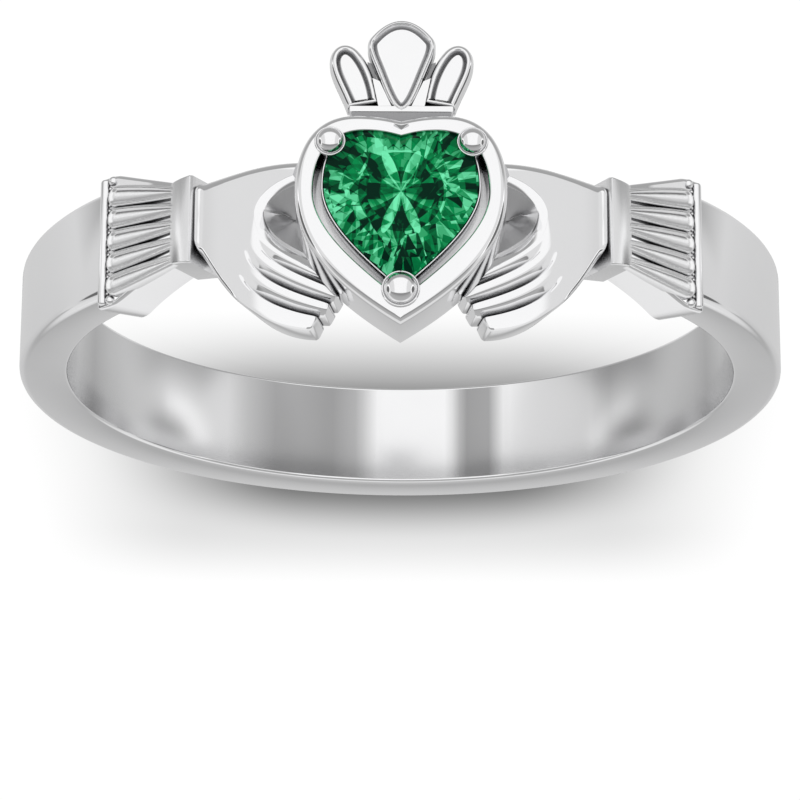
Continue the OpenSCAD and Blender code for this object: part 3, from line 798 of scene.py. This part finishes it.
stone = {
    "width": 3.64, "length": 3.92, "dip": 0.05, "crown": 0.42, "depth": 1.55, "girdle": 0.08,
    "sink": 0.126, "topIn": 0.07, "middle": 0.56, "steps": 16,
}
rimZ = fingerR + heart["rise"]
heartZ = rimZ - heart["wall"]
girdleZ = rimZ - stone["sink"]
stoneTip = heart["topY"] - stone["topIn"] * heart["length"] - stone["length"]


def heartOutline(width, length, dip, belly, topY, steps=26):
    # half a heart from the cleft to the point, in shares [across, along]
    shares = [[(0, -dip), (0.14, -0.4 * dip), (0.24, 0), (0.42, 0)],
              [(0.42, 0), (0.8, 0), (1, -0.14), (1, -0.36)],
              [(1, -0.36), (1, -0.56 - belly), (0.6 + belly, -0.76 - 0.7 * belly), (0, -1)]]
    half = curveRun([[(-p[0] * width / 2, topY + p[1] * length) for p in c] for c in shares], steps)
    return mirrored(half, (0, topY - length))


def stoneOutline(bigger=0, higher=0, steps=26):
    return heartOutline(stone["width"] + bigger, stone["length"] + bigger, stone["dip"], 0,
                        stoneTip + stone["length"] + higher, steps)


def makeHeart():
    w, l, top = heart["width"], heart["length"], heart["topY"]
    belly, rim = heart["belly"], heart["rim"]
    outer = heartOutline(w, l, heart["dip"], belly, top)
    under = heart["post"]
    post = heartOutline(under["width"] * w, under["length"] * l, 0, belly, under["top"] * top)
    well, floor = heart["well"], heart["floor"]
    outlines = {
        "well": heartOutline(w - 2 * rim, stone["length"] + well["longer"], well["dip"], 0,
                             top - well["topIn"] * rim),
        "seat": stoneOutline(*heart["seat"]),
        "lip": stoneOutline(*heart["lip"]),
        "floor": heartOutline(floor["size"] * stone["width"], floor["size"] * stone["length"], stone["dip"], 0,
                              stoneTip + floor["top"] * stone["length"]),
    }
    bm = bmesh.new()
    rings = [atHeight(post, fingerR + 0.2), atHeight(post, heartZ - 0.1), atHeight(outer, heartZ)]
    rings += [atHeight(inset(outer, d), rimZ - drop) for d, drop in heart["outerEdge"]]
    rings += [atHeight(inset(outlines["well"], -d), rimZ - drop) for d, drop in heart["innerEdge"]]
    rings += [atHeight(inset(outlines[name], d), rimZ - drop) for name, d, drop in heart["inside"]]
    loft(bm, rings)
    crease = heart["crease"]
    half, low, high = crease["width"] / 2, crease["y"], crease["y"] + crease["length"]
    corners = [(0, low, 0.002), (half, high, crease["rise"]),
               (0, blend(low, high, crease["cleft"]), crease["cleftRise"] * crease["rise"]),
               (-half, high, crease["rise"])]
    loft(bm, [[Vector((x, y, rimZ - 0.03)) for x, y, rise in corners],
              [Vector((x, y, rimZ + rise)) for x, y, rise in corners]])
    finishPiece(bm, "heart_cup", silver, sharp=40)


makeHeart()
print("heart made")

# Prongs: turned posts with round heads
prong = {
    "lobe": 0.75, "tip": 0.92, "length": 1.2, "headLift": 0.06,
    # where they stand, as shares: those on the lobes of the heart's half width and length, the tip's of the stone's
    "lobeOut": 0.67, "lobeIn": 0.14, "tipOut": 0.03,
    # up a post's side and over its rounded top to the groove round the ball: [distance out, drop] in its radius
    "post": [(0.97, 0.3), (1, 0.2), (0.99, 0.09), (0.97, 0.03), (0.94, 0), (0.9, 0), (0.865, 0.03)],
    "foot": 0.96, "ball": 0.84, "dome": 0.85,
}


def makeProngs():
    bm = bmesh.new()
    lobeX = prong["lobeOut"] * heart["width"] / 2
    lobeY = heart["topY"] - prong["lobeIn"] * heart["length"]
    places = [(-lobeX, lobeY, prong["lobe"]), (lobeX, lobeY, prong["lobe"]),
              (0, stoneTip - prong["tipOut"] * stone["length"], prong["tip"])]
    z = rimZ + prong["headLift"] * prong["lobe"]
    axis = 0.0001  # the profile's ends, close enough to the middle line to weld
    for x, y, size in places:
        r = size / 2
        ball = prong["ball"] * r
        profile = [(axis, z - prong["length"]), (prong["foot"] * r, z - prong["length"])]
        profile += [(out * r, z - drop * r) for out, drop in prong["post"]]
        for degrees in range(0, 90, 6):
            a = math.radians(degrees)
            profile.append((ball * math.cos(a), z + ball * math.sin(a) * prong["dome"]))
        profile.append((axis, z + ball * prong["dome"]))
        verts = [bm.verts.new((x + px, y, pz)) for px, pz in profile]
        edges = [bm.edges.new(pair) for pair in zip(verts, verts[1:])]
        bmesh.ops.spin(bm, geom=verts + edges, cent=(x, y, 0), axis=(0, 0, 1), angle=2 * math.pi, steps=40,
                       use_merge=True)
    finishPiece(bm, "prongs", silver, sharp=35)


makeProngs()
print("prongs made")

# Crown: a middle petal before two side petals, each hollowed, on a straight foot
crown = {
    "length": 2.6, "width": 3.46, "thickness": 0.6, "step": 0.45, "sideDrop": 0.07, "cleft": 0.09,
    # the foot bar and the neck behind it, as shares: width, length, thickness, place along and place in the thickness
    "foot": (0.71, 0.06, 0.8, 0.12, 0.55), "neck": (0.68, 0.2, 0.5, 0.02, 0.08), "footEdge": 0.03,
    # the slope from the foot down to the heart, and the low webs between the petals
    "slope": {"lean": 33, "y": 0.058, "drop": 0.174, "length": 0.3, "thickness": 0.1},
    "web": [(0.3, 0.35), (0.4, 0.6), (0.47, 0.62), (0.44, 0.42)], "webDrop": 0.28,
    # a block that joins each side petal to the middle one
    "join": [(0.3, 0.1), (0.1, 0.1), (0.3, 0.4), (0.4, 0.43)],
}
crownTop = rimZ - crown["step"]
crownBottom = crownTop - crown["thickness"]
middleOuter = [[(0, 1.004), (0.16, 1.004), (0.3, 0.94), (0.43, 0.83)],
               [(0.43, 0.83), (0.5, 0.77), (0.46, 0.68), (0.4, 0.58)],
               [(0.4, 0.58), (0.28, 0.38), (0.18, 0.14), (0.04, 0.1)]]
sideOuter = [[(0.74, 0.13), (0.82, 0.3), (0.98, 0.46), (0.99, 0.6)],
             [(0.99, 0.6), (0.99, 0.78), (0.73, 0.85), (0.56, 0.69)],
             [(0.56, 0.69), (0.44, 0.58), (0.32, 0.4), (0.29, 0.13)]]


def crownPoint(p, sign=-1):
    # a point on the crown from its shares of the half width and of the length
    return Vector((sign * p[0] * crown["width"] / 2, heart["topY"] + p[1] * crown["length"]))


def crownCurves(curves, sign=-1, steps=14):
    return curveRun([[crownPoint(p, sign) for p in c] for c in curves], steps)


# [distance in from the outline, drop below the top] over a petal's rim and into its hollow
middleSteps = [(0.05, 0.6), (0, 0.5), (0, 0.17), (0.014, 0.1), (0.035, 0.045), (0.06, 0.012), (0.08, 0), (0.095, 0),
               (0.115, 0.014), (0.13, 0.045), (0.15, 0.15), (0.17, 0.18), (0.19, 0.165), (0.225, 0.12),
               (0.26, 0.11)]
sideSteps = [(0.04, 0.55), (0, 0.45), (0, 0.2), (0.02, 0.13), (0.055, 0.07), (0.095, 0.035), (0.125, 0.025),
             (0.14, 0.025), (0.155, 0.035), (0.165, 0.07), (0.182, 0.18), (0.198, 0.2), (0.215, 0.185), (0.24, 0.14),
             (0.265, 0.12)]


def makePetal(bm, outline, steps, top):
    rings = []
    for distance, drop in steps:
        ring = [Vector((min(new.x, 0) if old.x < 0 else max(new.x, 0), new.y)) for old, new in
                zip(outline, inset(outline, distance))]
        rings.append(atHeight(ring, top - drop))
    loft(bm, rings)


def makeBlock(bm, width, length, thickness, place, height):
    # a block across the crown from shares of the crown's width, length, thickness and places in them
    middle = (0, heart["topY"] + place * crown["length"], blend(crownBottom, crownTop, height))
    size = (width * crown["width"], length * crown["length"], thickness * crown["thickness"], 1)
    bmesh.ops.create_cube(bm, size=1, matrix=Matrix.Translation(middle) @ Matrix.Diagonal(size))


def makeCrown():
    bm = bmesh.new()
    outer = mirrored(crownCurves(middleOuter), crownPoint((0, crown["cleft"])))
    makePetal(bm, outer, middleSteps, crownTop)
    finishPiece(bm, "crown_middle", silver, sharp=30)

    bm = bmesh.new()
    sideTop = crownTop - crown["sideDrop"]
    for sign in (-1, 1):
        makePetal(bm, crownCurves(sideOuter, sign), sideSteps, sideTop)
        join = [crownPoint(p, sign) for p in crown["join"]]
        loft(bm, [atHeight(join, crownBottom + 0.1), atHeight(join, sideTop - 0.02)])
    finishPiece(bm, "crown_sides", silver, sharp=30)

    bm = bmesh.new()
    makeBlock(bm, *crown["foot"])
    soften(bm, bm.edges[:], crown["footEdge"], 2)
    makeBlock(bm, *crown["neck"])
    finishPiece(bm, "crown_foot", silver, sharp=30)

    bm = bmesh.new()
    slope = crown["slope"]
    middle = (0, heart["topY"] + slope["y"] * crown["length"], crownTop - slope["drop"])
    size = (crown["neck"][0] * crown["width"], slope["length"], slope["thickness"], 1)
    bmesh.ops.create_cube(bm, size=1, matrix=Matrix.Translation(middle) @
                          Matrix.Rotation(math.radians(slope["lean"]), 4, "X") @ Matrix.Diagonal(size))
    for sign in (-1, 1):
        web = [crownPoint(p, sign) for p in crown["web"]]
        loft(bm, [atHeight(web, crownBottom + 0.12), atHeight(web, crownTop - crown["webDrop"])])
    # the neck and the webs take the darker silver, as painted shade
    finishPiece(bm, "crown_neck", neckSilver, sharp=30)


makeCrown()
print("crown made")

# Stone: rings of facet corners on the outline, skinned one half at a time
# [share of the outline, height over the girdle, how many points in a half, shift of the first point in steps]
stoneCuts = [
    (0.56, stone["crown"], 8, 0), (0.8, 0.6 * stone["crown"], 8, 0.5), (1, 0, 24, 0),
    (1, -stone["girdle"], 24, 0), (0.62, -0.52 * stone["depth"], 7, 0.5),
]


def makeStone():
    last = 3 * stone["steps"]
    half = stoneOutline(steps=stone["steps"])[:last + 1]
    middle = Vector((0, stoneTip + stone["middle"] * stone["length"]))
    bm = bmesh.new()
    for side in (-1, 1):
        points = [Vector((0, middle.y, girdleZ - stone["depth"]))]
        for share, height, count, shift in stoneCuts:
            for i in range(count + 1):
                k = min((i + shift) / count, 1)
                point = middle.lerp(half[round(k * last)], share)
                points.append(Vector((point.x * -side, point.y, girdleZ + height)))
            if shift:
                point = middle.lerp(half[0], share)
                points.append(Vector((0, point.y, girdleZ + height)))
        hull = bmesh.ops.convex_hull(bm, input=[bm.verts.new(p) for p in points])
        inside = {g for g in hull["geom_unused"] + hull["geom_interior"]
                  if isinstance(g, bmesh.types.BMVert) and g.is_valid}
        bmesh.ops.delete(bm, geom=list(inside), context="VERTS")
    # the two halves' walls against each other go, and flat neighbours become one facet
    between = [f for f in bm.faces if all(abs(v.co.x) < 0.001 for v in f.verts)]
    bmesh.ops.delete(bm, geom=between, context="FACES_ONLY")
    bmesh.ops.remove_doubles(bm, verts=bm.verts, dist=0.001)
    bmesh.ops.dissolve_limit(bm, angle_limit=math.radians(1), verts=bm.verts, edges=bm.edges)
    cut = bm.loops.layers.uv.new("cut")
    for face in bm.faces:
        for loop in face.loops:
            loop[cut].uv = (loop.vert.co.x, loop.vert.co.y - middle.y)
    finishPiece(bm, "stone", stoneGreen, node="heart_stone", sharp=1)


makeStone()
print("stone made")

# Floor and light: a pale floor that glows evenly with a soft shadow painted behind the ring, a soft key light, and a
# studio that the metal mirrors: a wide bright window in front, a grey ceiling, a paler back, and pale sides
studio = {
    "floor": (0.03, 0.03, 0.03, 1), "strength": 1.3,
    # the soft shadow painted into the floor's glow behind the ring, in millimetres: where each part starts and ends
    # to fade
    "shade": 0.27, "shadeSide": (6, 12), "shadeBack": (19, 24.5), "shadeStart": (4, 12),
    "contact": 0.6, "contactSide": (3, 9.5), "contactAway": (16, 20.4),
    # [degrees from the front horizon over the top to the back horizon, brightness], and below the horizon too
    "sky": [(-180, 0.47), (-150, 0.5), (-128, 0.56), (-108, 0.33), (-60, 0.29), (-50, 0.8), (46, 0.8), (51, 0.19),
            (62, 0.24), (76, 0.33), (111, 0.37), (118, 0.7), (140, 0.67), (152, 0.56), (160, 0.34), (163, 0.34),
            (166, 0.38), (170, 0.42), (176, 0.46), (180, 0.47)],
    # how bright the window still is beside its middle, then the sides, then the far edges, and between which places
    # across (0 is the middle, 1 the far side) each one comes in
    "beside": 0.61, "besideSpan": (0.56, 0.64), "side": 0.55, "sideSpan": (0.87, 0.92),
    "edge": 0.95, "edgeSpan": (0.925, 0.94), "rim": 0.12, "rimSpan": (0.958, 0.972),
    "key": {"power": 4.4, "size": 0.3, "rise": 27, "away": 0.6},
    "fill": {"power": 1.3, "size": 0.3, "rise": 88, "away": 0.6},
}


def makeStudio():
    look = studio
    material = bpy.data.materials.new("paleFloor")
    nodes = Nodes(material)
    place = nodes.add("ShaderNodeTexCoord", output="Object")
    split = nodes.add("ShaderNodeSeparateXYZ", {}, {"Vector": place})
    side = split.math("ABSOLUTE", split["X"]) * 1000
    back = split["Y"] * 1000
    away = split.math("POWER", side * side + back * back, 0.5)

    def fade(value, start, end):
        return softStep(nodes, value, start, end, 1.0, 0.0)

    # painted shadow: a wide soft shade and a darker contact shade behind the band, taken off the floor's glow
    wide = fade(side, *look["shadeSide"]) * fade(back, *look["shadeBack"]) * look["shade"]
    near = fade(side, *look["contactSide"]) * fade(away, *look["contactAway"]) * look["contact"]
    shade = (wide + near) * (1 - fade(back, *look["shadeStart"]))
    shader = nodes.add("ShaderNodeBsdfPrincipled", {}, {
        "Base Color": look["floor"], "Roughness": 1.0, "Specular IOR Level": 0.0, "Emission Color": 1 - shade,
        "Emission Strength": 1.0})
    nodes.add("ShaderNodeOutputMaterial", {}, {"Surface": shader})
    bm = bmesh.new()
    bmesh.ops.create_grid(bm, x_segments=1, y_segments=1, size=2)
    mesh = bpy.data.meshes.new("floor")
    bm.to_mesh(mesh)
    bm.free()
    mesh.materials.append(material)
    floor = bpy.data.objects.new("floor", mesh)
    bpy.context.scene.collection.objects.link(floor)
    floor.visible_glossy = False

    # the lamps light the floor and the stone, and the metal mirrors only the studio on the world
    for name in ("key", "fill"):
        lamp = look[name]
        rise = math.radians(lamp["rise"])
        data = bpy.data.lights.new(name, "AREA")
        data.shape = "DISK"
        data.size = lamp["size"]
        data.energy = lamp["power"]
        light = bpy.data.objects.new(name, data)
        bpy.context.scene.collection.objects.link(light)
        away = Vector((0, -math.cos(rise), math.sin(rise)))
        aim = away.to_track_quat("Z", "Y").to_matrix().to_4x4()
        light.matrix_world = Matrix.Translation(away * lamp["away"]) @ aim
        light.visible_glossy = False

    world = bpy.data.worlds.new("studio")
    bpy.context.scene.world = world
    world.cycles_visibility.diffuse = False
    nodes = Nodes(world)
    split = nodes.add("ShaderNodeSeparateXYZ", {}, {"Vector": nodes.add("ShaderNodeTexCoord", output="Generated")})
    turn = turnShare(split["Z"], -1 * split["Y"]) + 0.5
    sky = nodes.add("ShaderNodeValToRGB", {"stops": turnStops(look["sky"])}, {"Fac": turn})
    across = split.math("ABSOLUTE", split["X"])
    dimmed = sky.math("MINIMUM", sky, look["beside"])
    front = split.math("LESS_THAN", split["Y"])
    light = sky + (dimmed - sky) * softStep(nodes, across, *look["besideSpan"])
    for name, mask in (("side", 1.0), ("edge", front), ("rim", 1.0)):
        light = light + (look[name] - light) * softStep(nodes, across, *look[name + "Span"]) * mask
    glow = nodes.add("ShaderNodeBackground", {}, {"Color": light, "Strength": look["strength"]})
    nodes.add("ShaderNodeOutputWorld", {}, {"Surface": glow})
    bpy.context.scene.view_settings.view_transform = "Standard"
    bpy.context.scene.cycles.caustics_reflective = False  # the metal throws no bright patches on the floor


makeStudio()
print("studio made")
